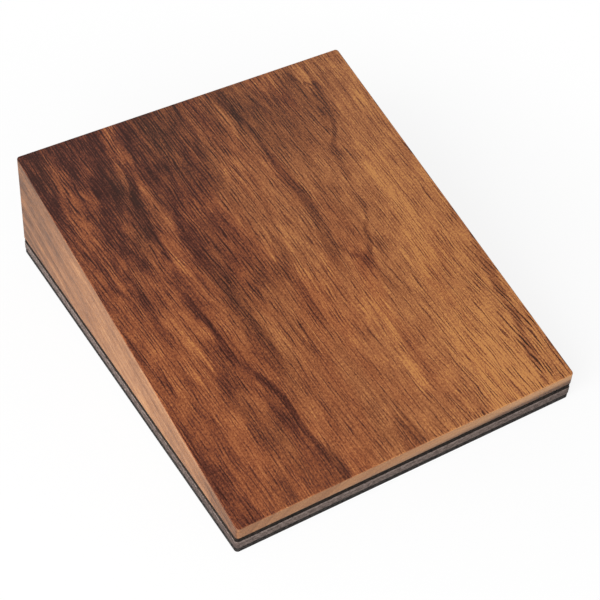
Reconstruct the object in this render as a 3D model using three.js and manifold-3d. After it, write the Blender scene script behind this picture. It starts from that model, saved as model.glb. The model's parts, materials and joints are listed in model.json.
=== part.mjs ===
import * as THREE from "three";
import { mergeVertices } from "three/addons/utils/BufferGeometryUtils.js";
import Module from "manifold-3d";

// A wedge-shaped foot stomp box: a solid wooden wedge glued on a sandwich of soft and hard layers,
// with a piezo pickup in its underside and a 6.35 mm jack socket in its tall rear face.
// Millimetres. X is the width, Y runs from the low front edge to the tall rear face, Z is up,
// and the origin is the middle of the underside.

const wasm = await Module();
wasm.setup();

// Wooden wedge
const bodyWidth = 172;
const bodyLength = 200;
const frontHeight = 6;
const rearHeight = 49;
const cornerRadius = 1.6;
const edgeEase = 0.5;

// Base layers, from the floor up
const gripThickness = 2.7;
const boardThickness = 4;
const dampingThickness = 2.8;
const softInset = 0.15;

// Pickup, in a round pocket under the middle of the foot plate
const pickupPocketDepth = 7;
const pickupClearance = 2;
const tapeThickness = 0.5;
const brassDiameter = 27;
const brassThickness = 0.3;
const brassRim = 3.5;
const ceramicThickness = 0.25;
const foamDiameter = 18;
const foamSlotWidth = 9;
const foamSlotGap = 2;

// Leads and their solder joints
const leadDiameter = 1.2;
const leadSpacing = 3;
const leadBend = 3;
const channelClearance = 0.9;
const channelDepth = 4;
const solderMargin = 0.6;
const solderHeight = 0.9;
const joinGap = 0.3;

// Jack socket: panel side
const jackHeight = 18;
const wallThickness = 5;
const recessDepth = 8;
const recessEase = 0.6;
const spannerSpace = 3;
const boreDiameter = 6.5;
const bushingWall = 1.5;
const threadShow = 0.7;
const mouthChamfer = 0.5;
const nutWall = 1.6;
const nutThickness = 2.4;
const nutChamfer = 0.4;
const washerWidth = 3.2;
const washerThickness = 0.8;
const lockThickness = 0.6;
const lockTeeth = 14;
const lockToothDepth = 1.1;

// Jack socket: contact stack behind the flange
const flangeWidth = 2.75;
const flangeThickness = 1.6;
const barrelWall = 1.1;
const lipWidth = 0.8;
const lipThickness = 0.7;
const stackWidth = 3;
const terminalThickness = 0.8;
const insulatorThickness = 1;
const collarWall = 0.7;
const lugWidth = 3.2;
const lugLength = 6;
const lugAngle = THREE.MathUtils.degToRad(20);
const lugHole = 1.6;

// Jack socket: tip contact spring, set by a standard plug's shank
const plugReach = 31.5;
const plugNeck = 27;
const plugEndSpace = 4;
const tabRise = 1.4;
const tabLength = 5;
const springWidth = 5;
const springThickness = 0.5;
const springBend = 2;
const contactHeight = 2.5;
const contactRound = 1.6;
const springTail = 3;
const springLift = 1.6;

// Clearances and facets
const runningGap = 0.25;
const springGap = 0.2;
const pocketCorner = 3;
const cutOverrun = 1;
const roundSegments = 48;
const arcSegments = 5;

// Heights and places worked out from the sizes above
const dampingBottom = gripThickness + boardThickness;
const woodBottom = dampingBottom + dampingThickness;
const rearFace = bodyLength / 2;
const brassRadius = brassDiameter / 2;
const ceramicRadius = brassRadius - brassRim;
const solderRadius = brassRim / 2 - solderMargin;
const pickupRoof = woodBottom + pickupPocketDepth;
const brassTop = pickupRoof - tapeThickness;
const ceramicTop = brassTop - brassThickness;
const ceramicBottom = ceramicTop - ceramicThickness;
const signalSolderY = ceramicRadius - solderMargin - solderRadius;
const groundSolderY = ceramicRadius + brassRim / 2;

const jackZ = woodBottom + jackHeight;
const wallOuter = rearFace - recessDepth;
const wallInner = wallOuter - wallThickness;
const boreRadius = boreDiameter / 2;
const threadRadius = boreRadius + bushingWall;
const washerRadius = threadRadius + washerWidth;
const recessRadius = washerRadius + spannerSpace;
const flangeRadius = threadRadius + flangeWidth;
const barrelRadius = boreRadius + barrelWall;
const stackRadius = barrelRadius + stackWidth;
const collarRadius = barrelRadius + runningGap + collarWall;
const bushingEnd = wallOuter + washerThickness + nutThickness + threadShow;
const flangeFront = wallInner - lockThickness;
const sleeveFront = flangeFront - flangeThickness;
const frontInsulatorFront = sleeveFront - terminalThickness;
const tipFront = frontInsulatorFront - insulatorThickness;
const rearInsulatorFront = tipFront - terminalThickness;
const lipFront = rearInsulatorFront - insulatorThickness;
const lugEnd = stackRadius + lugLength;
const lugHoleReach = lugEnd - lugWidth / 2;
const lugHoleX = lugHoleReach * Math.sin(lugAngle);
const lugHoleZ = jackZ - lugHoleReach * Math.cos(lugAngle);
const tabTop = stackRadius + tabRise;
const springSeat = tabTop + springGap;
const contactY = bushingEnd - plugNeck;
const pocketFront = bushingEnd - plugReach - plugEndSpace;
const pocketRoof = springSeat + springThickness + springLift;
const pocketHalfWidth = flangeRadius + pocketCorner + joinGap;

// Materials
function finish(color, roughness, metalness) {
  return new THREE.MeshStandardMaterial({ color, roughness, metalness });
}

const walnut = finish(0x8a5230, 0.45, 0);
const blackRubber = finish(0x1e1c1b, 0.85, 0);
const fibreBoard = finish(0x776d68, 0.8, 0);
const brass = finish(0xc9a24a, 0.35, 1);
const ceramic = finish(0xd9d5cb, 0.5, 0);
const whiteTape = finish(0xe6e2d8, 0.7, 0);
const greyFoam = finish(0x4a4a4c, 0.95, 0);
const solder = finish(0xb9bcc0, 0.3, 1);
const nickel = finish(0xc8c8c4, 0.25, 1);
const phenolic = finish(0x5a3a22, 0.6, 0);
const redPlastic = finish(0xa02622, 0.5, 0);
const blackPlastic = finish(0x151515, 0.5, 0);

// Solids
function signedVolume(positions, triangles) {
  const corner = [new THREE.Vector3(), new THREE.Vector3(), new THREE.Vector3()];
  let total = 0;
  for (let i = 0; i < triangles.length; i += 3) {
    corner.forEach((point, k) => point.fromArray(positions, triangles[i + k] * 3));
    total += corner[0].dot(corner[1].cross(corner[2]));
  }
  return total / 6;
}

function solid(geometry) {
  const bare = new THREE.BufferGeometry();
  bare.setAttribute("position", geometry.getAttribute("position"));
  bare.setIndex(geometry.getIndex());
  const merged = mergeVertices(bare, 1e-4);
  const vertProperties = new Float32Array(merged.getAttribute("position").array);
  const triVerts = new Uint32Array(merged.getIndex().array);
  if (signedVolume(vertProperties, triVerts) < 0) triVerts.reverse();
  return new wasm.Manifold(new wasm.Mesh({ numProp: 3, vertProperties, triVerts }));
}

function geometryOf(manifold) {
  const mesh = manifold.getMesh();
  const geometry = new THREE.BufferGeometry();
  geometry.setAttribute("position", new THREE.BufferAttribute(mesh.vertProperties, 3));
  geometry.setIndex(new THREE.BufferAttribute(mesh.triVerts, 1));
  geometry.computeVertexNormals();
  return geometry;
}

const box = new THREE.Group();

function addPiece(name, manifold, material) {
  const mesh = new THREE.Mesh(geometryOf(manifold), material);
  mesh.name = name;
  box.add(mesh);
}

// Outlines
function roundedRectangle(width, length, radius) {
  const x = width / 2 - radius;
  const y = length / 2 - radius;
  const shape = new THREE.Shape();
  shape.absarc(x, y, radius, 0, Math.PI / 2);
  shape.absarc(-x, y, radius, Math.PI / 2, Math.PI);
  shape.absarc(-x, -y, radius, Math.PI, Math.PI * 1.5);
  shape.absarc(x, -y, radius, Math.PI * 1.5, Math.PI * 2);
  shape.closePath();
  return shape;
}

function polar(radius, turn) {
  return new THREE.Vector2(radius, 0).rotateAround(new THREE.Vector2(), turn * Math.PI * 2);
}

function circleHole(radius, x = 0, y = 0) {
  return new THREE.Path().absarc(x, y, radius, 0, Math.PI * 2, true);
}

function ring(outer, inner) {
  const shape = new THREE.Shape().absarc(0, 0, outer, 0, Math.PI * 2);
  shape.holes.push(circleHole(inner));
  return shape;
}

// Basic solids: upright prisms and discs, plates across the jack's axis and rounds about it
function uprightPrism(shape, bottom, height, curveSegments = arcSegments) {
  const geometry = new THREE.ExtrudeGeometry(shape, { depth: height, bevelEnabled: false, curveSegments });
  return solid(geometry.translate(0, 0, bottom));
}

function disc(radius, top, thickness) {
  const geometry = new THREE.CylinderGeometry(radius, radius, thickness, roundSegments * 2);
  return solid(geometry.rotateX(Math.PI / 2).translate(0, 0, top - thickness / 2));
}

function jackPlate(shape, front, thickness, turn = 0) {
  const options = { depth: thickness, bevelEnabled: false, curveSegments: roundSegments / 2 };
  const geometry = new THREE.ExtrudeGeometry(shape, options);
  return solid(geometry.rotateZ(turn).rotateX(Math.PI / 2).translate(0, front, jackZ));
}

function jackRound(profile) {
  const points = profile.map(([radius, y]) => new THREE.Vector2(radius, y));
  return solid(new THREE.LatheGeometry(points, roundSegments).translate(0, 0, jackZ));
}

function jackBox(width, low, high, back, front) {
  const geometry = new THREE.BoxGeometry(width, front - back, high - low);
  return solid(geometry.translate(0, (back + front) / 2, jackZ + (low + high) / 2));
}

function jackCylinder(radius, back, front) {
  return jackRound([[0, back], [radius, back], [radius, front], [0, front]]);
}

// Wooden wedge: the plan outline lofted from the flat underside to the sloping top, with eased top edges
function slopeHeight(y) {
  return woodBottom + frontHeight + ((rearHeight - frontHeight) * (y + bodyLength / 2)) / bodyLength;
}

function outlinePoints(inset) {
  const shape = roundedRectangle(bodyWidth - 2 * inset, bodyLength - 2 * inset, cornerRadius - inset);
  const points = shape.extractPoints(arcSegments).shape;
  return points[0].distanceTo(points.at(-1)) < 1e-6 ? points.slice(0, -1) : points;
}

function wedgeRings() {
  const rings = [outlinePoints(0).map((p) => [p.x, p.y, woodBottom])];
  for (let step = 0; step <= arcSegments; step++) {
    const angle = (step / arcSegments) * (Math.PI / 2);
    const inset = edgeEase * (1 - Math.cos(angle));
    const drop = edgeEase * (1 - Math.sin(angle));
    rings.push(outlinePoints(inset).map((p) => [p.x, p.y, slopeHeight(p.y) - drop]));
  }
  return rings;
}

function loft(rings) {
  const count = rings[0].length;
  const index = [];
  for (let level = 0; level + 1 < rings.length; level++) {
    for (let i = 0; i < count; i++) {
      const a = level * count + i;
      const b = level * count + ((i + 1) % count);
      index.push(a, b, b + count, a, b + count, a + count);
    }
  }
  const lastRing = (rings.length - 1) * count;
  for (let i = 1; i + 1 < count; i++) {
    index.push(0, i + 1, i);
    index.push(lastRing, lastRing + i, lastRing + i + 1);
  }
  const geometry = new THREE.BufferGeometry();
  geometry.setAttribute("position", new THREE.Float32BufferAttribute(rings.flat(2), 3));
  geometry.setIndex(index);
  return solid(geometry);
}

function pickupPocket() {
  return disc(brassRadius + pickupClearance, pickupRoof, pickupPocketDepth + cutOverrun);
}

function leadChannel() {
  const width = leadSpacing + leadDiameter + 2 * channelClearance;
  const length = pocketFront + pocketCorner;
  const height = channelDepth + cutOverrun;
  const geometry = new THREE.BoxGeometry(width, length, height);
  return solid(geometry.translate(0, length / 2, woodBottom + channelDepth - height / 2));
}

function jackPocket() {
  const length = wallInner - pocketFront;
  const outline = roundedRectangle(2 * pocketHalfWidth, length, pocketCorner);
  const bottom = woodBottom - cutOverrun;
  return uprightPrism(outline, bottom, jackZ + pocketRoof - bottom).translate(0, pocketFront + length / 2, 0);
}

function jackRecess() {
  return jackRound([
    [0, wallOuter],
    [recessRadius, wallOuter],
    [recessRadius, rearFace - recessEase],
    [recessRadius + recessEase + cutOverrun, rearFace + cutOverrun],
    [0, rearFace + cutOverrun],
  ]);
}

function wedgeBody() {
  return loft(wedgeRings())
    .subtract(pickupPocket())
    .subtract(leadChannel())
    .subtract(jackPocket())
    .subtract(jackRecess())
    .subtract(jackCylinder(threadRadius + runningGap, wallInner - cutOverrun, wallOuter + cutOverrun));
}

// Base layers
function baseLayer(bottom, thickness, inset) {
  const outline = roundedRectangle(bodyWidth - 2 * inset, bodyLength - 2 * inset, cornerRadius - inset);
  return uprightPrism(outline, bottom, thickness);
}

// Pickup
function foamPad() {
  const pad = disc(foamDiameter / 2, ceramicBottom, ceramicBottom - woodBottom);
  const slotStart = signalSolderY - solderRadius - foamSlotGap;
  const slot = new THREE.BoxGeometry(foamSlotWidth, foamDiameter, pickupPocketDepth * 3);
  return pad.subtract(solid(slot.translate(0, slotStart + foamDiameter / 2, woodBottom)));
}

// Solder joints: low domes on the pickup's underside and on the jack's lugs
function solderDome() {
  const profile = [new THREE.Vector2(0, 0)];
  for (let step = 0; step <= arcSegments; step++) {
    const angle = (step / arcSegments) * (Math.PI / 2);
    const radius = step === arcSegments ? 0 : solderRadius * Math.cos(angle);
    profile.push(new THREE.Vector2(radius, -solderHeight * Math.sin(angle)));
  }
  return new THREE.LatheGeometry(profile, roundSegments / 2);
}

function pickupSolder(x, y, top) {
  return solid(solderDome().rotateX(Math.PI / 2).translate(x, y, top));
}

function lugSolder(side, lugFace) {
  return solid(solderDome().translate(side * lugHoleX, lugFace, lugHoleZ));
}

// Leads: from a solder joint on the pickup down to the floor of the channel, along it and up to a lug
function roundedRoute(points, radius) {
  const route = new THREE.CurvePath();
  let from = points[0];
  for (let i = 1; i + 1 < points.length; i++) {
    const corner = points[i];
    const [before, after] = [points[i - 1], points[i + 1]].map((next) =>
      corner.clone().addScaledVector(next.clone().sub(corner).normalize(), radius));
    route.add(new THREE.LineCurve3(from, before));
    route.add(new THREE.QuadraticBezierCurve3(before, corner, after));
    from = after;
  }
  route.add(new THREE.LineCurve3(from, points.at(-1)));
  return route;
}

function lead(side, solderY, solderTop, lugFace) {
  const x = (side * leadSpacing) / 2;
  const rest = woodBottom + leadDiameter / 2 + joinGap;
  const lugX = side * lugHoleX;
  const lugY = lugFace - solderHeight - joinGap;
  const points = [
    new THREE.Vector3(x, solderY, solderTop - solderHeight - joinGap),
    new THREE.Vector3(x, solderY, rest),
    new THREE.Vector3(x, pocketFront + pocketCorner, rest),
    new THREE.Vector3(lugX, lugY - 2 * leadBend, lugHoleZ),
    new THREE.Vector3(lugX, lugY, lugHoleZ),
  ];
  const extrudePath = roundedRoute(points, leadBend);
  const steps = Math.ceil(extrudePath.getLength() / (2 * leadDiameter));
  const section = new THREE.Shape().absarc(0, 0, leadDiameter / 2, 0, Math.PI * 2);
  return solid(new THREE.ExtrudeGeometry(section, { steps, extrudePath, curveSegments: 4 }));
}

// Jack socket: the pieces that clamp it to the wooden wall
function jackBushing() {
  return jackRound([
    [boreRadius, bushingEnd - mouthChamfer],
    [boreRadius + mouthChamfer, bushingEnd],
    [threadRadius - mouthChamfer, bushingEnd],
    [threadRadius, bushingEnd - mouthChamfer],
    [threadRadius, flangeFront],
    [flangeRadius, flangeFront],
    [flangeRadius, sleeveFront],
    [barrelRadius, sleeveFront],
    [barrelRadius, lipFront],
    [barrelRadius + lipWidth, lipFront],
    [barrelRadius + lipWidth, lipFront - lipThickness],
    [boreRadius, lipFront - lipThickness],
    [boreRadius, bushingEnd - mouthChamfer],
  ]);
}

function lockWasher() {
  const root = flangeRadius - lockToothDepth;
  const points = [];
  for (let tooth = 0; tooth < lockTeeth; tooth++) {
    points.push(polar(root, tooth / lockTeeth));
    points.push(polar(flangeRadius, (tooth + 0.25) / lockTeeth));
    points.push(polar(flangeRadius, (tooth + 0.5) / lockTeeth));
    points.push(polar(root, (tooth + 0.75) / lockTeeth));
  }
  const shape = new THREE.Shape(points);
  shape.holes.push(circleHole(threadRadius + runningGap));
  return jackPlate(shape, wallInner, lockThickness);
}

function flatWasher() {
  const shape = ring(washerRadius, threadRadius + runningGap);
  return jackPlate(shape, wallOuter + washerThickness, washerThickness);
}

function hexNut() {
  const flatRadius = threadRadius + nutWall;
  const cornerReach = flatRadius / Math.cos(Math.PI / 6);
  const shape = new THREE.Shape([0, 1, 2, 3, 4, 5].map((corner) => polar(cornerReach, corner / 6)));
  shape.holes.push(circleHole(threadRadius + runningGap));
  const back = wallOuter + washerThickness;
  const front = back + nutThickness;
  const chamferedRound = jackRound([
    [0, back - cutOverrun],
    [cornerReach + cutOverrun, back - cutOverrun],
    [cornerReach + cutOverrun, front - nutChamfer - cutOverrun / 2],
    [flatRadius, front],
    [0, front],
  ]);
  return jackPlate(shape, front, nutThickness).intersect(chamferedRound);
}

// Jack socket: contact stack
function solderLug(side, front) {
  const half = lugWidth / 2;
  const root = (collarRadius + stackRadius) / 2;
  const shape = new THREE.Shape();
  shape.moveTo(-half, -root);
  shape.lineTo(-half, -lugHoleReach);
  shape.absarc(0, -lugHoleReach, half, Math.PI, Math.PI * 2);
  shape.lineTo(half, -root);
  shape.closePath();
  shape.holes.push(circleHole(lugHole / 2, 0, -lugHoleReach));
  return jackPlate(shape, front, terminalThickness, side * lugAngle);
}

function sleeveTerminal() {
  const plate = jackPlate(ring(stackRadius, barrelRadius + runningGap), sleeveFront, terminalThickness);
  return plate.add(solderLug(1, sleeveFront));
}

function frontInsulator() {
  const inner = barrelRadius + runningGap;
  return jackRound([
    [inner, frontInsulatorFront],
    [stackRadius, frontInsulatorFront],
    [stackRadius, tipFront],
    [collarRadius, tipFront],
    [collarRadius, rearInsulatorFront],
    [inner, rearInsulatorFront],
    [inner, frontInsulatorFront],
  ]);
}

function rearInsulator() {
  return jackPlate(ring(stackRadius, barrelRadius + runningGap), rearInsulatorFront, insulatorThickness);
}

function tipTerminal() {
  const back = tipFront - terminalThickness;
  const plate = jackPlate(ring(stackRadius, collarRadius + runningGap), tipFront, terminalThickness);
  const riserFoot = (stackRadius + collarRadius) / 2;
  const riser = jackBox(springWidth, riserFoot, tabTop, back, tipFront);
  const tab = jackBox(springWidth, tabTop - terminalThickness, tabTop, back - tabLength, tipFront);
  return plate.add(solderLug(-1, tipFront)).add(riser).add(tab);
}

// Jack socket: tip contact spring, a bent leaf in the plane of the jack's axis
function springLine() {
  const middle = springSeat + springThickness / 2;
  const low = contactHeight + springThickness / 2;
  const knee = new THREE.Vector2(tipFront - terminalThickness - tabLength - springBend, middle);
  const shoulder = new THREE.Vector2(contactY + contactRound, low + contactRound);
  const kneeEnd = knee.clone().add(shoulder.clone().sub(knee).setLength(springBend));
  const line = new THREE.Path();
  line.moveTo(tipFront, middle);
  line.lineTo(knee.x + springBend, middle);
  line.quadraticCurveTo(knee.x, knee.y, kneeEnd.x, kneeEnd.y);
  line.lineTo(shoulder.x, shoulder.y);
  line.quadraticCurveTo(contactY, low - contactRound, contactY - contactRound, low + contactRound);
  line.lineTo(contactY - springTail, low + springTail);
  return line.getPoints(arcSegments);
}

function leafOutline(line, thickness) {
  const side = (sign) => line.map((point, i) => {
    const along = line[Math.min(i + 1, line.length - 1)].clone().sub(line[Math.max(i - 1, 0)]).normalize();
    return new THREE.Vector2(-along.y, along.x).multiplyScalar((sign * thickness) / 2).add(point);
  });
  return new THREE.Shape([...side(1), ...side(-1).reverse()]);
}

function tipSpring() {
  const options = { depth: springWidth, bevelEnabled: false };
  const geometry = new THREE.ExtrudeGeometry(leafOutline(springLine(), springThickness), options);
  geometry.rotateX(Math.PI / 2).rotateZ(Math.PI / 2);
  return solid(geometry.translate(-springWidth / 2, 0, jackZ));
}

// Assembly
addPiece("wedge_body", wedgeBody(), walnut);
addPiece("damping_sheet", baseLayer(dampingBottom, dampingThickness, softInset), blackRubber);
addPiece("base_board", baseLayer(gripThickness, boardThickness, 0), fibreBoard);
addPiece("grip_mat", baseLayer(0, gripThickness, softInset), blackRubber);

addPiece("pickup_tape", disc(brassRadius, pickupRoof, tapeThickness), whiteTape);
addPiece("pickup_brass_disc", disc(brassRadius, brassTop, brassThickness), brass);
addPiece("pickup_ceramic_disc", disc(ceramicRadius, ceramicTop, ceramicThickness), ceramic);
addPiece("pickup_foam_pad", foamPad(), greyFoam);

const tipLugFace = tipFront - terminalThickness;
const sleeveLugFace = sleeveFront - terminalThickness;
addPiece("solder_pickup_signal", pickupSolder(-leadSpacing / 2, signalSolderY, ceramicBottom), solder);
addPiece("solder_pickup_ground", pickupSolder(leadSpacing / 2, groundSolderY, ceramicTop), solder);
addPiece("solder_jack_tip", lugSolder(-1, tipLugFace), solder);
addPiece("solder_jack_sleeve", lugSolder(1, sleeveLugFace), solder);
addPiece("lead_signal", lead(-1, signalSolderY, ceramicBottom, tipLugFace), redPlastic);
addPiece("lead_ground", lead(1, groundSolderY, ceramicTop, sleeveLugFace), blackPlastic);

addPiece("jack_bushing", jackBushing(), nickel);
addPiece("jack_lock_washer", lockWasher(), nickel);
addPiece("jack_flat_washer", flatWasher(), nickel);
addPiece("jack_hex_nut", hexNut(), nickel);
addPiece("jack_sleeve_terminal", sleeveTerminal(), nickel);
addPiece("jack_front_insulator", frontInsulator(), phenolic);
addPiece("jack_tip_terminal", tipTerminal(), nickel);
addPiece("jack_rear_insulator", rearInsulator(), phenolic);
addPiece("jack_tip_spring", tipSpring(), nickel);

export default box;
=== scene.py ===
import json
import math

import bmesh
import bpy
from mathutils import Matrix, Vector


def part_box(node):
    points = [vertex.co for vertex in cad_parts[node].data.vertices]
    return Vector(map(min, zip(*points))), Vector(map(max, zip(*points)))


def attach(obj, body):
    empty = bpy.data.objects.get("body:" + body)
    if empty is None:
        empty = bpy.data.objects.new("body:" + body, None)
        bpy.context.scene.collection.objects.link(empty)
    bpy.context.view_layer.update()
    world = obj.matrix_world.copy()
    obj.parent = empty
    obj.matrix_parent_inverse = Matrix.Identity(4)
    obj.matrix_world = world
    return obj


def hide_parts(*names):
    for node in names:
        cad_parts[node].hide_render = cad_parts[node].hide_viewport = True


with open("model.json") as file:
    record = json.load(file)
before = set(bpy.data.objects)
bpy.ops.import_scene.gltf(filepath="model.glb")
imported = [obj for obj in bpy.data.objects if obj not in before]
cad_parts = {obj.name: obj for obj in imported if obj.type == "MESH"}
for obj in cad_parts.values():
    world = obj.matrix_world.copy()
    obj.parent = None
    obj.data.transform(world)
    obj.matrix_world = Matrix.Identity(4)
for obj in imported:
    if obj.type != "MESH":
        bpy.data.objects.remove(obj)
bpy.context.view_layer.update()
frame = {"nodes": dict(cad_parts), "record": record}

scene = bpy.context.scene
mm = 0.001
hair = 1e-6  # metres: heights or CAD points closer than this are one
weld = 1e-7  # the same for the points of the shapes made here


# a wire or a plain value, into one socket of a node
def feed(value, target, socketName):
    if isinstance(value, Wire):
        value.tree.links.new(value.socket, target.inputs[socketName])
    else:
        target.inputs[socketName].default_value = value


# A socket that can be used in sums: each operator adds its Math node
class Wire:
    def __init__(self, tree, socket=None):
        self.tree = tree
        self.socket = socket

    # any node: its settings first, then its sockets by name or number
    def node(self, kind, settings, inputs, output=0):
        made = self.tree.nodes.new(kind)
        for name, value in settings.items():
            if name == "stops":
                ramp = made.color_ramp.elements
                while len(ramp) < len(value):
                    ramp.new(0.5)
                for stop, (place, colour) in zip(ramp, value):
                    stop.position = place
                    stop.color = (*colour, 1.0)
            elif name == "points":
                curve = made.mapping.curves[0]
                while len(curve.points) < len(value):
                    curve.points.new(0.5, 0.5)
                made.mapping.extend = "HORIZONTAL"
                for knot, place in zip(curve.points, value):
                    knot.location = place
                    knot.handle_type = "AUTO_CLAMPED"
                made.mapping.update()
            else:
                setattr(made, name, value)
        for name, value in inputs.items():
            feed(value, made, name)
        return Wire(self.tree, made.outputs[output])

    def math(self, operation, *others):
        return self.node("ShaderNodeMath", {"operation": operation}, dict(enumerate((self, *others))))

    def __add__(self, other):
        return self.math("ADD", other)

    def __radd__(self, other):
        return self.math("ADD", other)

    def __sub__(self, other):
        return self.math("SUBTRACT", other)

    def __rsub__(self, other):
        return self.node("ShaderNodeMath", {"operation": "SUBTRACT"}, {0: other, 1: self})

    def __mul__(self, other):
        return self.math("MULTIPLY", other)

    def __rmul__(self, other):
        return self.math("MULTIPLY", other)

    def __truediv__(self, other):
        return self.math("DIVIDE", other)

    # smooth step from 0 at low to 1 at high, or the other way round where low is the larger
    def step(self, low, high):
        settings = {"interpolation_type": "SMOOTHSTEP"}
        return self.node("ShaderNodeMapRange", settings, {"Value": self, "From Min": low, "From Max": high})

    def ramp(self, stops):
        return self.node("ShaderNodeValToRGB", {"stops": stops}, {"Fac": self})

    # colour: from self to other by a factor
    def tint(self, factor, other):
        colour = other if isinstance(other, Wire) else (*other, 1.0)
        return self.node("ShaderNodeMix", {"data_type": "RGBA"}, {0: factor, 6: self, 7: colour}, 2)


def point(x, y, z):
    return x.node("ShaderNodeCombineXYZ", {}, {"X": x, "Y": y, "Z": z})


# noise as a value about 0; its recipe is (scale per millimetre along the three axes, detail, roughness)
def noiseAt(axes, recipe):
    scale, detail, rough = recipe
    place = point(*(axis * size for axis, size in zip(axes, scale)))
    inputs = {"Vector": place, "Scale": 1.0, "Detail": detail, "Roughness": rough}
    return place.node("ShaderNodeTexNoise", {}, inputs) - 0.5


def findNode(tree, kind):
    return next(node for node in tree.nodes if node.type == kind)


# A new material: itself, its Principled shader, and the object coordinates in millimetres
def newLook(name):
    look = bpy.data.materials.new(name)
    look.use_nodes = True
    shader = findNode(look.node_tree, "BSDF_PRINCIPLED")
    start = Wire(look.node_tree)
    place = start.node("ShaderNodeTexCoord", {}, {}, "Object")
    scaled = start.node("ShaderNodeMapping", {}, {"Vector": place, "Scale": (1 / mm, 1 / mm, 1 / mm)})
    axes = [start.node("ShaderNodeSeparateXYZ", {}, {"Vector": scaled}, axis) for axis in "XYZ"]
    return look, shader, axes


# the surface's own direction, which tells the top from the sides
def facing(wire):
    normal = wire.node("ShaderNodeTexCoord", {}, {}, "Normal")
    return [wire.node("ShaderNodeSeparateXYZ", {}, {"Vector": normal}, axis) for axis in "XYZ"]


def feedBump(height, shader, depth):
    bump = height.node("ShaderNodeBump", {}, {"Strength": 1.0, "Distance": depth, "Height": height})
    feed(bump, shader, "Normal")


# An object in the scene, from a bmesh that is used up
def newObject(name, bm, look):
    mesh = bpy.data.meshes.new(name)
    bm.to_mesh(mesh)
    bm.free()
    mesh.materials.append(look)
    made = bpy.data.objects.new(name, mesh)
    scene.collection.objects.link(made)
    return made


# A finished piece: smooth with its sharp edges kept, riding on the box
def newPiece(name, bm, look, replaced, sharpAngle=35):
    piece = newObject(name, bm, look)
    for face in piece.data.polygons:
        face.use_smooth = True
    piece.data.set_sharp_from_angle(angle=math.radians(sharpAngle))
    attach(piece, "box")
    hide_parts(replaced)
    return piece


# keeps wide flat faces flat beside their rounded edges
def flatFaces(piece):
    weighted = piece.modifiers.new("flatFaces", "WEIGHTED_NORMAL")
    weighted.keep_sharp = True


def roundEdges(bm, edges, offset, segments):
    bmesh.ops.bevel(bm, geom=edges, offset=offset, offset_type="OFFSET", affect="EDGES",
                    segments=segments, profile=0.5, material=-1)


# Camera, from the photograph's edge lines: degrees, metres, and millimetres for the lens and its sensor
photoView = {
    "azimuth": -34.98,
    "elevation": 45.92,
    "roll": 4.51,
    "distance": 0.745,
    "slideRight": 0.00546,
    "slideUp": 0.00975,
    "lens": 96.84,
    "sensor": 36.0,
    "clipStart": 0.01,
}


def makeCamera():
    azimuth, elevation, roll = (math.radians(photoView[k]) for k in ("azimuth", "elevation", "roll"))
    aside = Vector((math.sin(azimuth), -math.cos(azimuth), 0))
    back = aside * math.cos(elevation) + Vector((0, 0, math.sin(elevation)))
    level = Vector((0, 0, 1)).cross(back).normalized()
    upright = back.cross(level)
    right = math.cos(roll) * level + math.sin(roll) * upright
    up = math.cos(roll) * upright - math.sin(roll) * level
    data = bpy.data.cameras.new("photoCamera")
    data.sensor_width = photoView["sensor"]
    data.lens = photoView["lens"]
    data.clip_start = photoView["clipStart"]
    camera = bpy.data.objects.new("photoCamera", data)
    scene.collection.objects.link(camera)
    place = right * photoView["slideRight"] + up * photoView["slideUp"] + back * photoView["distance"]
    camera.matrix_world = Matrix.Translation(place) @ Matrix((right, up, back)).transposed().to_4x4()
    scene.camera = camera


makeCamera()
print("camera placed")


# White studio: pale floor, room that is bright at the horizon and dim overhead, one large lamp at the left
studio = {
    "floorSpan": 12.0,
    "floorSegments": 96,
    "floorDrop": 0.3 * mm,
    "floorShade": (0.92, 0.92, 0.92),
    "floorRough": 0.9,
    "floorSheen": 0.1,
    "floorGlow": 0.88,  # share of the floor's white that the camera sees without the shadow, near the box
    "floorFade": (120, 280),  # millimetres from the middle, over which that share grows to 1
    "room": [  # from 0.5 at the horizon to 1 overhead
        (0.5, (1.0, 1.0, 1.0)),
        (0.6, (1.0, 1.0, 1.0)),
        (0.76, (0.5, 0.5, 0.5)),
        (0.87, (0.14, 0.14, 0.14)),
        (1.0, (0.1, 0.1, 0.1)),
    ],
    "roomLight": 1.0,
    "keyPlace": (-1.2, -0.52, 0.74),
    "keySize": 1.3,
    "keyPower": 34.0,
}


def makeFloor():
    look, shader, axes = newLook("floorWhite")
    feed((*studio["floorShade"], 1.0), shader, "Base Color")
    feed(studio["floorRough"], shader, "Roughness")
    feed(studio["floorSheen"], shader, "Specular IOR Level")
    start = axes[0]
    rays = ("Is Camera Ray", "Is Glossy Ray", "Is Transmission Ray")
    path = [start.node("ShaderNodeLightPath", {}, {}, ray) for ray in rays]
    seen = path[0].math("MAXIMUM", path[1]).math("MAXIMUM", path[2])
    glow = start.node("ShaderNodeEmission", {}, {"Color": (1.0, 1.0, 1.0, 1.0), "Strength": 1.0})
    base = Wire(look.node_tree, shader.outputs[0])
    away = (axes[0] * axes[0] + axes[1] * axes[1]).math("SQRT").step(*studio["floorFade"])
    share = away * (1 - studio["floorGlow"]) + studio["floorGlow"]
    mixed = start.node("ShaderNodeMixShader", {}, {0: seen * share, 1: base, 2: glow})
    feed(mixed, findNode(look.node_tree, "OUTPUT_MATERIAL"), "Surface")
    bm = bmesh.new()
    drop = Matrix.Translation((0, 0, -studio["floorDrop"]))
    bmesh.ops.create_circle(bm, cap_ends=True, segments=studio["floorSegments"],
                            radius=studio["floorSpan"], matrix=drop)
    floor = newObject("studioFloor", bm, look)


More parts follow.
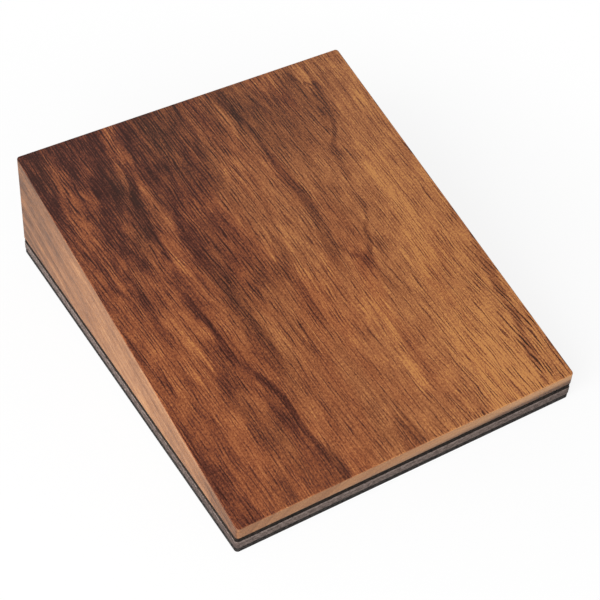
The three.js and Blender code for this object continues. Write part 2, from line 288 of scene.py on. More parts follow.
def makeLight():
    world = bpy.data.worlds.new("studioRoom")
    world.use_nodes = True
    scene.world = world
    start = Wire(world.node_tree)
    direction = start.node("ShaderNodeTexCoord", {}, {}, "Generated")
    height = start.node("ShaderNodeSeparateXYZ", {}, {"Vector": direction}, "Z")
    shade = (height * 0.5 + 0.5).ramp(studio["room"])
    background = findNode(world.node_tree, "BACKGROUND")
    feed(studio["roomLight"], background, "Strength")
    feed(shade, background, "Color")
    data = bpy.data.lights.new("keyLamp", "AREA")
    data.shape = "DISK"
    data.size = studio["keySize"]
    data.energy = studio["keyPower"]
    lamp = bpy.data.objects.new("keyLamp", data)
    scene.collection.objects.link(lamp)
    lamp.location = studio["keyPlace"]
    lamp.rotation_euler = (-lamp.location).to_track_quat("-Z", "Y").to_euler()


makeFloor()
makeLight()
scene.view_settings.view_transform = "Standard"
print("floor and light made")


# Walnut: places in millimetres on the foot plate, x to the right and y to the rear.
# A band runs along the grain through its stations (y, middle x, half width, depth);
# a depth below 0 is lighter.
walnut = {
    "shades": [
        (0.0, (0.034, 0.013, 0.007)),
        (0.27, (0.110, 0.036, 0.019)),
        (0.5, (0.228, 0.076, 0.029)),
        (0.75, (0.370, 0.138, 0.053)),
        (1.0, (0.555, 0.240, 0.077)),
    ],
    "redShades": [
        (0.0, (0.040, 0.011, 0.007)),
        (0.27, (0.114, 0.032, 0.018)),
        (0.5, (0.236, 0.069, 0.027)),
        (0.75, (0.380, 0.128, 0.047)),
        (1.0, (0.560, 0.238, 0.068)),
    ],
    # side and end wood, paler and greyer than the top: a painted reflection haze is mixed into these shades
    "sideShadesWithPaintedHaze": [
        (0.0, (0.083, 0.034, 0.016)),
        (0.5, (0.250, 0.110, 0.048)),
        (1.0, (0.450, 0.229, 0.103)),
    ],
    "tone": 0.675,  # place on the shades before grain and figure
    # grey that the foot plate takes toward the rear: a painted sheen
    "rearSheenGrey": (0.24, 0.24, 0.26),
    "rough": 0.46,
    "sheen": 0.2,
    "poreDepth": 0.06 * mm,
    "lean": 0.08,  # how far a grain line moves to the left per millimetre to the rear
    "slope": 0.215,  # rise of the foot plate per millimetre to the rear
    "plateMiddle": 37.0,  # height of the foot plate at its middle
    "heart": (14, -80),  # middle of the growth rings: to the right, and below the plate
    # the three axes are: to the right, across the grain or away from the heart; to the rear; in depth
    "noises": {
        "drift": ((1 / 48, 1 / 120, 1 / 48), 1.0, 0.5),
        "ripple": ((1 / 9, 1 / 30, 1 / 9), 2.0, 0.5),
        "streaks": ((1 / 2.4, 1 / 40, 1 / 2.4), 2.0, 0.6),
        "fibre": ((1.55, 0.08, 1.55), 0.5, 0.7),
        "speck": ((1.4, 0.9, 1.4), 1.0, 0.9),
        "cloud": ((1 / 9, 1 / 12, 1 / 9), 3.0, 0.6),
        "wander": ((0.4, 0.075, 0.4), 1.0, 0.5),
        "strength": ((1 / 2, 1 / 12, 1 / 2), 1.0, 0.5),
        "sideStreaks": ((1 / 3, 1 / 90, 1 / 1.6), 3.0, 0.65),
        "sideBands": ((1 / 8, 1 / 70, 1 / 4.5), 2.0, 0.5),
        "rings": ((0.45, 1 / 60, 1 / 90), 2.0, 0.6),
        "warm": ((1 / 20, 1 / 60, 1 / 20), 2.0, 0.5),
    },
    "lineWaves": 4.6,  # turn of the dark lines' wave per millimetre across the grain
    "lineDepth": 0.35,
    "curveShare": 0.005,  # share of a curve node's run, 0 to 1, that a millimetre takes
    "curveMiddle": 0.5,
    "wideBand": 2.4,  # mean half width above which a band counts as wide
    "fadeLeast": 2.0,  # millimetres over which a band ends, with a share of its length, up to a most
    "fadeShare": 0.35,
    "fadeMost": 8.0,
    "softShare": 0.55,  # softness of a band's sides, as a share of its half width, up to a most
    "softMost": 2.0,
    "bands": [
        # rear left: dark flames with lighter tongues
        [(100, -56, 10, 0.16), (80, -57, 9, 0.18), (66, -57, 5, 0.20), (54, -62, 5, 0.18),
         (40, -65, 4, 0.13)],
        [(72, -52, 4, 0.15), (60, -52, 4, 0.16), (44, -52, 4, 0.13)],
        [(100, -70, 4, 0.18), (90, -68, 3, 0.20), (80, -67, 2, 0.17)],
        [(93, -74, 2, -0.08), (86, -72, 2, -0.12), (79, -70, 1.5, -0.08)],
        [(96, -82, 5, 0.16), (80, -81, 5, 0.22), (62, -83, 3, 0.16)],
        [(98, -43, 2.6, -0.10), (84, -43, 2.2, -0.12), (76, -45, 1.6, -0.10), (66, -48, 1.4, -0.06)],
        [(76, -41, 1.4, -0.04), (60, -40, 2, -0.06), (54, -38, 2, -0.04)],
        [(75, -44, 1.6, 0.24), (60, -46, 2.0, 0.34), (48, -48, 2.2, 0.28), (38, -50, 2.4, 0.20)],
        [(100, -36, 2.5, 0.14), (76, -35, 2.6, 0.18), (54, -34, 3.2, 0.18), (40, -35.5, 2.4, 0.24),
         (28, -35.5, 2.4, 0.32), (12, -35, 2.4, 0.22), (-8, -33, 2.6, 0.16), (-34, -30, 2, 0.08)],
        [(22, -41, 1.6, 0.10), (6, -40, 1.6, 0.12)],
        [(100, -21, 13, 0.16), (76, -20, 13, 0.18), (52, -20, 12, 0.16)],
        [(98, -12, 2.2, -0.12), (80, -11, 1.6, -0.08)],
        [(100, -6, 1.8, 0.18), (84, -5, 1.6, 0.18), (70, -7, 1.6, 0.10)],
        # rear right: broad brown patch with a dark rim
        [(100, 5, 6, 0.14), (84, 5, 6, 0.14), (70, 4, 6, 0.06)],
        [(98, 13.5, 2, -0.12), (80, 13, 2, -0.10)],
        [(96, 17, 1.2, 0.30), (86, 18, 1.3, 0.36), (74, 20.5, 1.1, 0.34), (56, 21.5, 1.0, 0.30),
         (42, 22, 1.4, 0.22), (28, 23.5, 2.6, 0.24), (14, 22, 2.4, 0.16), (2, 20.5, 3, 0.16),
         (-8, 20, 2, 0.10)],
        [(80, 17, 1.8, 0.12), (62, 17.5, 2, 0.12)],
        [(98, 27, 9, 0.08), (93, 32, 13, 0.14), (88, 38, 19, 0.17), (84, 42, 23, 0.18), (74, 42, 21, 0.16),
         (62, 41, 19, 0.13), (52, 39, 15, 0.07)],
        [(92, 53, 1.6, 0.10), (88, 60, 1.6, 0.20), (84, 64.2, 1.5, 0.34), (76, 63.4, 1.3, 0.32),
         (66, 61.6, 1.3, 0.24), (57, 58, 1.4, 0.26), (50, 53, 1.6, 0.16)],
        [(83, 68, 2.5, 0.05), (70, 65, 3, 0.05), (58, 62, 3, 0.03)],
        [(100, 66, 9, -0.06), (95, 70, 9, -0.06)],
        [(98, 79, 5, -0.06), (80, 79, 5, -0.06), (60, 78, 5, -0.05)],
        [(46, 51, 1.2, 0.12), (34, 50, 1.2, 0.10)],
        [(80, 75, 2.2, 0.06), (74, 75, 2.2, 0.06)],
        # middle
        [(66, 0, 7, -0.06), (54, 2, 8, -0.08)],
        [(36, -62, 4, 0.18), (24, -61, 3, 0.16)],
        [(22, -69, 1.5, 0.14), (8, -69, 1.6, 0.18), (-3, -69, 1.6, 0.12)],
        [(24, -78, 1.3, 0.12), (10, -74, 1.4, 0.14)],
        [(10, -60, 7, -0.10), (-10, -59, 8, -0.13), (-30, -62, 8, -0.12)],
        [(8, -80, 4, -0.05), (-4, -79, 4, -0.09), (-22, -78, 4, -0.09), (-34, -77, 4, -0.05)],
        [(12, -52, 3, 0.08), (0, -52, 4, 0.12), (-8, -52, 3, 0.10)],
        [(-14, -33, 4, 0.08), (-28, -34, 5, 0.14), (-42, -33, 4, 0.10)],
        [(40, -43, 2.4, -0.10), (20, -44, 2.4, -0.10)],
        [(36, -23, 11, 0.13), (14, -22, 12, 0.15), (-2, -19, 15, 0.14)],
        [(6, -4, 3, 0.10), (-12, -3, 3, 0.12), (-30, -3, 2, 0.12)],
        [(24, 5, 5, -0.08), (10, 7, 5, -0.10)],
        [(4, 23, 1.2, 0.10), (-2, 25, 1.3, 0.16), (-7, 29, 1.4, 0.18), (-11, 32, 1.6, 0.10)],
        [(16, 48, 1.2, 0.12), (3, 41, 1.3, 0.18), (-6, 38, 1.4, 0.18), (-10, 35, 1.6, 0.10)],
        [(-13, 33.5, 2.6, 0.14), (-18, 34.5, 2.6, 0.12), (-26, 35, 2, 0.08)],
        [(26, 33, 9, 0.06), (8, 33, 9, 0.06), (-6, 33, 5, 0.04)],
        [(54, 66, 6, -0.10), (28, 66, 6, -0.12), (10, 65, 5, -0.10), (-20, 62, 8, -0.08)],
        # front left: the long dark streak
        [(1, -51.8, 1.0, 0.20), (-6, -51, 1.4, 0.30), (-18, -49.4, 1.3, 0.28), (-30, -48.4, 1.6, 0.18),
         (-38, -45, 1.8, 0.18), (-46, -41, 1.6, 0.26), (-60, -38.2, 1.5, 0.29), (-76, -36.6, 1.4, 0.21),
         (-100, -33, 1.8, 0.22)],
        [(-20, -50, 5, 0.07), (-36, -50, 6, 0.09), (-52, -45, 5, 0.07), (-70, -42, 6, 0.10),
         (-100, -39, 6, 0.10)],
        [(-57, -44.5, 1.6, 0.10), (-65, -44, 1.8, 0.14), (-74, -42, 1.6, 0.10)],
        [(-44, -48.5, 2, -0.10), (-54, -49, 2, -0.08)],
        [(-32, -57, 3, 0.12), (-46, -57, 3, 0.10)],
        [(-58, -54, 4, 0.05), (-72, -53, 4, 0.10)],
        [(-70, -84, 3, 0.08), (-86, -80, 5, 0.12), (-100, -78, 6, 0.14)],
        [(-86, -60, 2.5, 0.08), (-100, -59, 3, 0.09)],
        [(-42, -67, 5, -0.12), (-60, -65, 5, -0.12), (-80, -63, 3, -0.08)],
        [(-54, -31, 3.5, -0.04), (-70, -31, 3.5, -0.06), (-86, -29, 3, -0.04)],
        [(-12, -21, 8, -0.02), (-30, -19, 8, -0.03)],
        [(-36, -16, 4, 0.10), (-43, -13, 4, 0.10)],
        [(-88, 1, 3, 0.12), (-100, 1, 4, 0.20)],
        # front right: golden, with one dark streak at the edge
        [(-30, 83, 1.4, 0.18), (-44, 81.8, 1.6, 0.22), (-60, 79, 1.5, 0.20), (-76, 75.5, 1.5, 0.18),
         (-100, 71.5, 1.6, 0.16)],
        [(-50, 26, 2, 0.08), (-80, 27, 2, 0.09)],
        [(-20, 24, 8, -0.06), (-38, 22, 5, -0.10), (-70, 22, 3, -0.10)],
        [(-40, 54, 12, -0.05), (-62, 56, 15, -0.08), (-100, 58, 16, -0.12)],
    ],
}


# the sum of all bands, at places bent by noise: one place for narrow bands, a more ragged one for wide bands
def bandDepth(narrowPlace, widePlace):
    share, centre = walnut["curveShare"], walnut["curveMiddle"]
    places = [[axis * share + centre for axis in place] for place in (narrowPlace, widePlace)]
    total = 0.0
    for band in walnut["bands"]:
        meanHalf = sum(station[2] for station in band) / len(band)
        aside, along = places[meanHalf > walnut["wideBand"]]
        rear, front = band[0][0], band[-1][0]
        fade = min(walnut["fadeMost"], walnut["fadeShare"] * (rear - front) + walnut["fadeLeast"])
        stations = [(rear + fade, *band[0][1:3], 0.0), *band, (front - fade, *band[-1][1:3], 0.0)]
        knots = sorted((y * share + centre, x * share + centre, half * share, deep)
                       for y, x, half, deep in stations)
        curves = [[(knot[0], knot[k]) for knot in knots] for k in (1, 2, 3)]
        middle, width, depth = (
            along.node("ShaderNodeFloatCurve", {"points": curve}, {"Value": along}) for curve in curves
        )
        soft = share * min(walnut["softMost"], walnut["softShare"] * meanHalf)
        outside = (aside - middle).math("ABSOLUTE") - width
        total = outside.step(soft, -soft) * depth + total
    return total


def walnutLook():
    look, shader, (x, y, z) = newLook("walnutOiled")
    normal = facing(x)
    plate = normal[2].step(0.3, 0.8)
    ends = normal[1].math("ABSOLUTE").step(0.5, 0.9)
    deep = z - y * walnut["slope"] - walnut["plateMiddle"]  # 0 on the foot plate

    noises = walnut["noises"]

    # grain lines lean a little and wander
    plain = (x, y, deep)
    drift = noiseAt(plain, noises["drift"])
    ripple = noiseAt(plain, noises["ripple"])
    across = x + y * walnut["lean"] + drift * 9 + ripple * 1.5
    alongGrain = (across, y, deep)
    streaks = noiseAt(alongGrain, noises["streaks"])
    fibre = noiseAt(alongGrain, noises["fibre"])
    speck = noiseAt(plain, noises["speck"])
    cloud = noiseAt(plain, noises["cloud"])

    # parts of the plate that differ: each grows from 0 to 1
    corner = (y * 0.6 - x).step(0, 130)  # to the rear left
    rear = y.step(-10, 80)
    rightHalf = x.step(0, 60)
    front = y.step(-10, -60)
    frontLeft = x.step(40, -20) * y.step(-30, -80)
    frontRight = (x * 0.5 - y).step(20, 120)
    golden = (x - y * 0.8).step(60, 150)  # to the front right corner

    # fine dark lines along the grain: waves whose phase wanders, strong in some places and gone in others
    wander = noiseAt(alongGrain, noises["wander"])
    strength = noiseAt(alongGrain, noises["strength"]).step(-0.18, 0.2)
    wave = ((across + deep) * walnut["lineWaves"] + wander * 11).math("SINE")
    lines = wave.step(-0.2, 0.95) * strength * (1 - ends)
    lineDepth = walnut["lineDepth"] + golden * 0.48 + rear * (0.12 - rightHalf * 0.2) - front * 0.13

    # bands of the figure, with wandering sides and ragged ends; where many meet, their depth levels off
    narrowPlace = (x + ripple * 5 + drift * 3 + streaks * 2, y + streaks * 10)
    widePlace = (x + ripple * 7 + drift * 3 + streaks * 5, y + streaks * 50 + ripple * 20)
    figure = bandDepth(narrowPlace, widePlace) * plate
    figure = figure / (figure.math("ABSOLUTE") * 1.3 + 1)

    # grain of the plate and of the four sides
    grain = streaks * (0.45 + corner * 0.4 + rear * 0.15) + fibre * (0.5 + rear * 0.2) + speck * 0.9
    grain = grain + cloud * (0.36 + corner * 0.4)
    sideStreaks = noiseAt((x, y + drift * 40, deep + ripple * 2), noises["sideStreaks"])
    sideBands = noiseAt((x, y + drift * 60, deep + ripple * 4), noises["sideBands"])
    sideGrain = (sideStreaks * 0.5 + streaks * 0.15 + sideBands * 0.9) * (1 - ends)
    sideGrain = sideGrain + cloud * (0.5 - ends * 0.35) + fibre * 0.5 + speck * 0.6

    tone = walnut["tone"] + x * 0.0018 - y.math("MAXIMUM", 0) * 0.0009
    tone = tone + grain * plate + sideGrain * (1 - plate) - figure * (1.5 + streaks * 2)
    tone = tone - corner * 0.07 + frontRight * 0.045 - frontLeft * plate * 0.05
    tone = tone - lines * (0.1 + plate * lineDepth)

    # growth rings on the two ends; sides darker to the rear and front, with painted light on the long sides
    # and ends; pale eased edges
    ringAside, ringRise = x - walnut["heart"][0], deep - walnut["heart"][1]
    ringPlace = (ringAside * ringAside + ringRise * ringRise).math("SQRT") + drift * 4
    rings = noiseAt((ringPlace, y, deep), noises["rings"])
    # pale eased edges: partly wear, partly a painted highlight where the edges catch the light
    edgeWearAndHighlight = normal[2].step(0.25, 0.5) * normal[2].step(0.97, 0.9)
    # long sides painted lighter, as if lit, and darker toward their rear and front
    sideToneAndPaintedLight = y.step(20, 110) * 0.26 + y.step(-60, -100) * (0.46 - ends * 0.38) - (1 - ends) * 0.09
    # front and rear faces: darker to the left, with painted light toward the right
    sideToneAndPaintedLight = sideToneAndPaintedLight + ends * (x.step(20, -50) * 0.08 - x.step(20, 80) * 0.15)
    tone = tone - ends * (rings * 0.7 - 0.12) - (1 - plate) * sideToneAndPaintedLight + edgeWearAndHighlight * (cloud + 0.3) * 0.15

    warm = (noiseAt(plain, noises["warm"]) * 2.4 + 0.45 - x * 0.007).step(0.0, 1.0)
    colour = tone.ramp(walnut["shades"]).tint(warm, tone.ramp(walnut["redShades"]))
    # painted sheen: the foot plate greys toward the rear, in place of a reflection of the room
    colour = colour.tint(y.step(-40, 100) * 0.035, walnut["rearSheenGrey"])
    # the sides and ends take the paler shades, which hold the painted reflection haze
    colour = tone.ramp(walnut["sideShadesWithPaintedHaze"]).tint(plate, colour)
    feed(colour, shader, "Base Color")
    feed(walnut["rough"] + cloud * 0.14 + lines * 0.1, shader, "Roughness")
    feed(walnut["sheen"], shader, "Specular IOR Level")
    feedBump(fibre * 0.4 - lines, shader, walnut["poreDepth"])
    return look


def makeWedge():
    bm = bmesh.new()
    bm.from_mesh(frame["nodes"]["wedge_body"].data)
    bmesh.ops.remove_doubles(bm, verts=bm.verts, dist=hair)
    piece = newPiece("walnut_wedge", bm, walnutLook(), "wedge_body")
    flatFaces(piece)


makeWedge()
print("walnut wedge made")


# Base layers
baseLayers = {
    "corner": 1.6 * mm,
    "cornerSegments": 6,
    "rubberRim": 0.12 * mm,
    "boardRim": 0.25 * mm,
    "rimSegments": 2,
    "matTop": 2.7,  # millimetres above the floor, as is the next
    # heights of the painted highlight under the board's upper edge
    "boardHighlightBand": (5.6, 6.3),
    "sheetShades": [(0.1, (0.004, 0.0032, 0.0027)), (0.9, (0.028, 0.021, 0.017))],
    "matShades": [(0.1, (0.005, 0.0045, 0.0042)), (0.9, (0.046, 0.041, 0.038))],
    "boardShades": [
        (0.15, (0.058, 0.040, 0.034)),
        (0.5, (0.116, 0.084, 0.072)),
        (0.9, (0.205, 0.160, 0.142)),
    ],
    "rubberSpeck": ((0.8, 0.8, 0.8), 4.0, 0.7),
    "rubberRough": 0.78,
    "rubberSheen": 0.06,
    "boardMottle": ((0.35, 0.35, 1.3), 4.0, 0.7),
    "boardFleck": ((0.9, 0.9, 2.4), 2.0, 0.6),
    "boardRough": 0.72,
    "boardSheen": 0.2,
    "cutDepth": 0.2 * mm,  # of the bump on their cut edges
}


def layerBlock(node, rim):
    low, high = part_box(node)
    bm = bmesh.new()
    shape = Matrix.Translation((low + high) / 2) @ Matrix.Diagonal((*(high - low), 1.0))
    bmesh.ops.create_cube(bm, size=1.0, matrix=shape)
    posts = [e for e in bm.edges if abs(e.verts[0].co.z - e.verts[1].co.z) > mm]
    roundEdges(bm, posts, baseLayers["corner"], baseLayers["cornerSegments"])
    rims = [e for e in bm.edges if abs(e.verts[0].co.z - e.verts[1].co.z) < hair]
    roundEdges(bm, rims, rim, baseLayers["rimSegments"])
    return bm


# black rubber: the lower mat is greyer than the upper sheet
def rubberLook():
    look, shader, axes = newLook("rubberBlack")
    speck = noiseAt(axes, baseLayers["rubberSpeck"])
    tone = speck * 3.6 + 0.5
    upper = tone.ramp(baseLayers["sheetShades"])
    lower = tone.ramp(baseLayers["matShades"])
    aboveMat = axes[2].step(baseLayers["matTop"], baseLayers["matTop"] + 1)
    feed(lower.tint(aboveMat, upper), shader, "Base Color")
    feed(baseLayers["rubberRough"] + speck * 0.3, shader, "Roughness")
    feed(baseLayers["rubberSheen"], shader, "Specular IOR Level")
    feedBump(speck, shader, baseLayers["cutDepth"])
    return look


# fibre board: brown grey, mottled, with short pressed fibres and a painted highlight, a paler band under its
# upper edge, darker at the front of the long sides and at the right
def boardLook():
    look, shader, (x, y, z) = newLook("boardGrey")
    mottle = noiseAt((x, y, z), baseLayers["boardMottle"])
    fleck = noiseAt((x, y, z), baseLayers["boardFleck"])
    # painted highlight along the board's upper edge
    paintedEdgeHighlight = z.step(*baseLayers["boardHighlightBand"])
    sides = facing(x)[0].math("ABSOLUTE")
    darker = sides * y.step(60, -100) * 0.32 + x.step(20, 90) * 0.1
    tone = mottle * 2.8 + fleck * 2.2 + 0.46 + paintedEdgeHighlight * 0.3 - darker
    feed(tone.ramp(baseLayers["boardShades"]), shader, "Base Color")
    feed(baseLayers["boardRough"] + fleck * 0.4, shader, "Roughness")
    feed(baseLayers["boardSheen"], shader, "Specular IOR Level")
    feedBump(mottle + fleck * 0.6, shader, baseLayers["cutDepth"])
    return look


def makeBase():
    rubber = rubberLook()
    for name, node in (("damping_layer", "damping_sheet"), ("grip_layer", "grip_mat")):
        flatFaces(newPiece(name, layerBlock(node, baseLayers["rubberRim"]), rubber, node))
    board = layerBlock("base_board", baseLayers["boardRim"])
    flatFaces(newPiece("fibre_board", board, boardLook(), "base_board"))


makeBase()
print("base layers made")


# Jack socket, turned about a line along y; radii and places in millimetres
jack = {
    "height": 27.5,
    "steps": 72,
    "bore": 3.25,
    "thread": 4.75,
    "mouth": 95.9,
    "mouthEase": 0.5,
    "flange": 7.5,
    "flangeFront": 86.4,
    "flangeBack": 84.8,
    "barrel": 4.35,
    "lip": 5.15,
    "lipFront": 81.2,
    "lipBack": 80.5,
    "pitch": 0.79,
    "threadDepth": 0.36,
    "threadPoints": 8,  # along one turn of the thread
    "runOut": 0.8,  # length over which the thread dies away at the flange
    "nutFlat": 6.35,
    "nutHole": 4.85,
    "nutBack": 92.8,
    "nutFront": 95.2,
    "nutChamfer": 30,  # degrees
    "washer": 7.95,
    "washerHole": 5.0,
    "washerBack": 92.0,
    "edge": 0.15,  # ease of the small edges
    "rimSegments": 2,
    "touch": 0.05,  # how near a point counts as on a line or a face
    "shades": [(0.1, (0.50, 0.48, 0.44)), (0.9, (0.70, 0.69, 0.65))],
    "haze": ((0.5, 0.5, 0.5), 3.0, 0.6),
    "marks": ((7, 7, 0.05), 1.0, 0.5),  # of turning: by radius, y and x
    "rough": 0.26,
    "markDepth": 0.01 * mm,  # in metres, as bump takes it
}


# a closed profile of (radius, y) places, spun once round the jack's axis
def jackSpin(profile):
    bm = bmesh.new()
    verts = [bm.verts.new((r * mm, y * mm, jack["height"] * mm)) for r, y in profile]
    edges = [bm.edges.new((a, b)) for a, b in zip(verts, verts[1:] + verts[:1])]
    bmesh.ops.spin(bm, geom=verts + edges, cent=(0, 0, jack["height"] * mm), axis=(0, 1, 0),
                   angle=2 * math.pi, steps=jack["steps"], use_merge=True, use_duplicate=False)
    bmesh.ops.remove_doubles(bm, verts=bm.verts, dist=weld)
    bmesh.ops.recalc_face_normals(bm, faces=bm.faces)
    return bm


# radius and turn of a vertex about the jack's axis
def jackPlace(vert):
    x, z = vert.co.x / mm, vert.co.z / mm - jack["height"]
    return math.hypot(x, z), math.atan2(z, x)


def setRadius(vert, radius, turn):
    vert.co.x = radius * math.cos(turn) * mm
    vert.co.z = (radius * math.sin(turn) + jack["height"]) * mm


# nickel plate with faint turning marks round the jack's axis
def nickelLook():
    look, shader, (x, y, z) = newLook("nickelPlate")
    rise = z - jack["height"]
    radius = (x * x + rise * rise).math("SQRT")
    marks = noiseAt((radius, y, x), jack["marks"])
    haze = noiseAt((x, y, z), jack["haze"])
    feed((haze * 1.5 + 0.5).ramp(jack["shades"]), shader, "Base Color")
    feed(jack["rough"] + haze * 0.3 + marks * 0.15, shader, "Roughness")
    feed(1.0, shader, "Metallic")
    feedBump(marks, shader, jack["markDepth"])
    return look


# bushing: the thread is a true helix, cut into the turned sleeve by moving its points inwards
def makeBushing(nickel):
    ease = jack["edge"]
    top = jack["mouth"] - jack["mouthEase"]
    foot = jack["flangeFront"]
    count = int((top - foot) / jack["pitch"] * jack["threadPoints"])
    ridge = [(jack["thread"], top + (foot - top) * i / count) for i in range(count + 1)]
    profile = [
        (jack["bore"], top),
        (jack["bore"] + jack["mouthEase"], jack["mouth"]),
        (jack["thread"] - jack["mouthEase"], jack["mouth"]),
        *ridge,
        (jack["flange"] - ease, foot),
        (jack["flange"], foot - ease),
        (jack["flange"], jack["flangeBack"] + ease),
        (jack["flange"] - ease, jack["flangeBack"]),
        (jack["barrel"], jack["flangeBack"]),
        (jack["barrel"], jack["lipFront"]),
        (jack["lip"] - ease, jack["lipFront"]),
        (jack["lip"], jack["lipFront"] - ease),
        (jack["lip"], jack["lipBack"] + ease),
        (jack["lip"] - ease, jack["lipBack"]),
        (jack["bore"] + ease, jack["lipBack"]),
        (jack["bore"], jack["lipBack"] + ease),
    ]
    bm = jackSpin(profile)
    for vert in bm.verts:
        radius, turn = jackPlace(vert)
        place = vert.co.y / mm
        if abs(radius - jack["thread"]) < jack["touch"] and place > foot + jack["touch"]:
            phase = (place / jack["pitch"] + turn / (2 * math.pi)) % 1.0
            share = min(1.0, (place - foot) / jack["runOut"])
            setRadius(vert, radius - jack["threadDepth"] * abs(2 * phase - 1) * share, turn)
    newPiece("jack_sleeve", bm, nickel, "jack_bushing", 50)


# nut: a turned ring whose outer points move in to the six flats, with a chamfer round its front
def makeNut(nickel):
    flat, back, front = jack["nutFlat"], jack["nutBack"], jack["nutFront"]
    hole, ease = jack["nutHole"], jack["edge"]
    halfSide = math.pi / 6
    reach = flat / math.cos(halfSide)
    fall = math.tan(math.radians(jack["nutChamfer"]))
    profile = [
        (hole + 2 * ease, back),
        (flat - ease, back),
        (reach, back + ease),
        (reach, front),
        (flat - ease, front),
        (hole + 3 * ease, front),
        (hole, front - 3 * ease),
        (hole, back + 2 * ease),
    ]
    bm = jackSpin(profile)
    for vert in bm.verts:
        radius, turn = jackPlace(vert)
        if radius > flat + jack["touch"]:
            side = (turn + halfSide) % (2 * halfSide) - halfSide
            outer = flat / math.cos(halfSide - abs(side))
            setRadius(vert, outer, turn)
            if vert.co.y > (front - jack["touch"]) * mm:
                vert.co.y = (front - (outer - flat + ease) * fall) * mm
    newPiece("jack_nut", bm, nickel, "jack_hex_nut", 25)


def makeWasher(nickel):
    hole, outer, back, front = jack["washerHole"], jack["washer"], jack["washerBack"], jack["nutBack"]
    bm = jackSpin([(hole, back), (outer, back), (outer, front), (hole, front)])
    rims = [e for e in bm.edges if abs(e.verts[0].co.y - e.verts[1].co.y) < weld
            and abs(jackPlace(e.verts[0])[0] - jackPlace(e.verts[1])[0]) < weld / mm]
    roundEdges(bm, rims, jack["edge"] * mm, jack["rimSegments"])
    newPiece("jack_washer", bm, nickel, "jack_flat_washer")


nickel = nickelLook()
makeBushing(nickel)
makeNut(nickel)
makeWasher(nickel)
print("jack socket made")


# Foam pad under the pickup: squeezed flat between the disc and the sheet below, so that its sides swell
foamPad = {
    "radius": 8.55 * mm,
    "segments": 64,
    "slotSide": 4.85 * mm,
    "slotStart": 4.8 * mm,
    "levels": 9,
    "swell": 0.32 * mm,
    "shades": [(0.1, (0.020, 0.020, 0.022)), (0.7, (0.085, 0.085, 0.090))],
    "speck": ((2, 2, 2), 2.0, 0.5),
    "cells": 1.7,  # per millimetre
    "cellDepth": 0.3 * mm,
    "rough": 0.9,
}


def foamLook():
    look, shader, axes = newLook("foamGrey")
    place = point(*axes)
    inputs = {"Vector": place, "Scale": foamPad["cells"]}
    cells = place.node("ShaderNodeTexVoronoi", {}, inputs, "Distance")
    speck = noiseAt(axes, foamPad["speck"])
    tone = cells * 0.9 + speck * 0.8
    feed(tone.ramp(foamPad["shades"]), shader, "Base Color")
    feed(foamPad["rough"] + speck * 0.2, shader, "Roughness")
    feedBump(cells, shader, foamPad["cellDepth"])
    return look


# new edges all round, where a plane meets the mesh
def sliceAll(bm, place, direction):
    everything = bm.verts[:] + bm.edges[:] + bm.faces[:]
    bmesh.ops.bisect_plane(bm, geom=everything, dist=weld, plane_co=place, plane_no=direction)


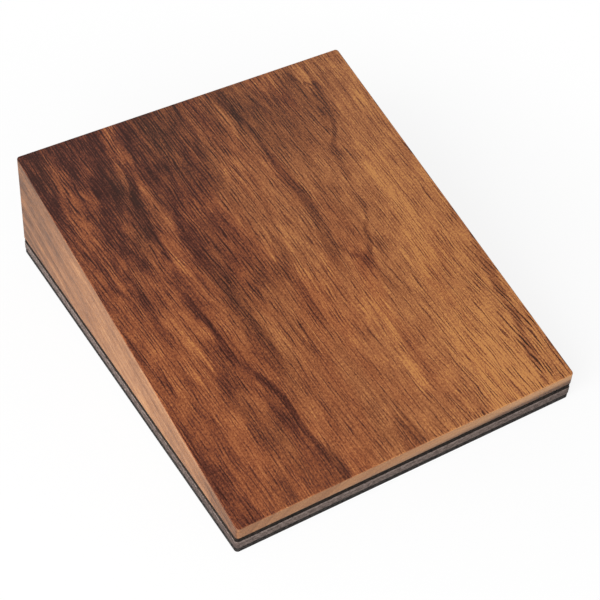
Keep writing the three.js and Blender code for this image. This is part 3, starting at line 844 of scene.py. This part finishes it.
def makeFoam():
    low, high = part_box("pickup_foam_pad")
    bm = bmesh.new()
    bmesh.ops.create_circle(bm, cap_ends=True, segments=foamPad["segments"], radius=foamPad["radius"],
                            matrix=Matrix.Translation((0, 0, low.z)))
    cuts = [
        ((-foamPad["slotSide"], 0, 0), (1, 0, 0)),
        ((foamPad["slotSide"], 0, 0), (1, 0, 0)),
        ((0, foamPad["slotStart"], 0), (0, 1, 0)),
    ]
    for place, direction in cuts:
        sliceAll(bm, place, direction)
    slot = [f for f in bm.faces if abs(f.calc_center_median().x) < foamPad["slotSide"]
            and f.calc_center_median().y > foamPad["slotStart"]]
    bmesh.ops.delete(bm, geom=slot, context="FACES")
    raised = bmesh.ops.extrude_face_region(bm, geom=bm.faces[:], use_keep_orig=True)
    moved = [v for v in raised["geom"] if isinstance(v, bmesh.types.BMVert)]
    bmesh.ops.translate(bm, verts=moved, vec=(0, 0, high.z - low.z))
    bmesh.ops.remove_doubles(bm, verts=bm.verts, dist=weld)
    for level in range(1, foamPad["levels"]):
        height = low.z + (high.z - low.z) * level / foamPad["levels"]
        sliceAll(bm, (0, 0, height), (0, 0, 1))
    bmesh.ops.recalc_face_normals(bm, faces=bm.faces)
    bm.normal_update()
    middle, half = (low.z + high.z) / 2, (high.z - low.z) / 2
    for vert in bm.verts:
        rise = (vert.co.z - middle) / half
        outwards = Vector((vert.normal.x, vert.normal.y, 0))
        vert.co += outwards * foamPad["swell"] * (1 - rise * rise)
    piece = newPiece("foam_pad", bm, foamLook(), "pickup_foam_pad", 50)


makeFoam()
print("foam pad made")


# Finishes of the inner pieces that keep their CAD shape: dark and light shade, noise scale along x, y and z,
# roughness, metal share and depth of the bump in millimetres
innerFinishes = {
    "tape": ((0.58, 0.55, 0.48), (0.78, 0.76, 0.70), (0.9, 0.9, 3.0), 0.75, 0.0, 0.05),
    "disc_brass": ((0.42, 0.27, 0.075), (0.66, 0.47, 0.16), (0.2, 2.5, 1.0), 0.34, 1.0, 0.01),
    "disc_ceramic": ((0.52, 0.51, 0.47), (0.72, 0.71, 0.67), (1.4, 1.4, 1.4), 0.48, 0.0, 0.02),
    "solder": ((0.42, 0.43, 0.45), (0.66, 0.67, 0.69), (2.2, 2.2, 2.2), 0.28, 1.0, 0.04),
    "signal_insulation": ((0.27, 0.014, 0.010), (0.40, 0.026, 0.018), (1.2, 0.2, 1.2), 0.45, 0.0, 0.02),
    "ground_insulation": ((0.005, 0.005, 0.005), (0.014, 0.014, 0.014), (1.2, 0.2, 1.2), 0.45, 0.0, 0.02),
    "phenolic": ((0.062, 0.026, 0.009), (0.130, 0.058, 0.022), (0.8, 6.0, 0.8), 0.55, 0.0, 0.04),
}


def innerLook(name, finish):
    dark, light, scale, rough, metal, bumpDepth = finish
    look, shader, axes = newLook(name)
    mottle = noiseAt(axes, (scale, 3.0, 0.6))
    feed((mottle * 1.6 + 0.5).ramp([(0.1, dark), (0.9, light)]), shader, "Base Color")
    feed(rough + mottle * 0.3, shader, "Roughness")
    feed(metal, shader, "Metallic")
    feedBump(mottle, shader, bumpDepth * mm)
    return look


def dressInner():
    looks = {slotName: innerLook(f"{slotName}Inner", finish) for slotName, finish in innerFinishes.items()}
    looks["nickel"] = nickel
    for part in frame["record"]["subparts"]:
        node = frame["nodes"][part["node"]]
        if part["material_slot"] in looks:
            for materialSlot in node.material_slots:
                materialSlot.material = looks[part["material_slot"]]


dressInner()
print("inner pieces dressed")
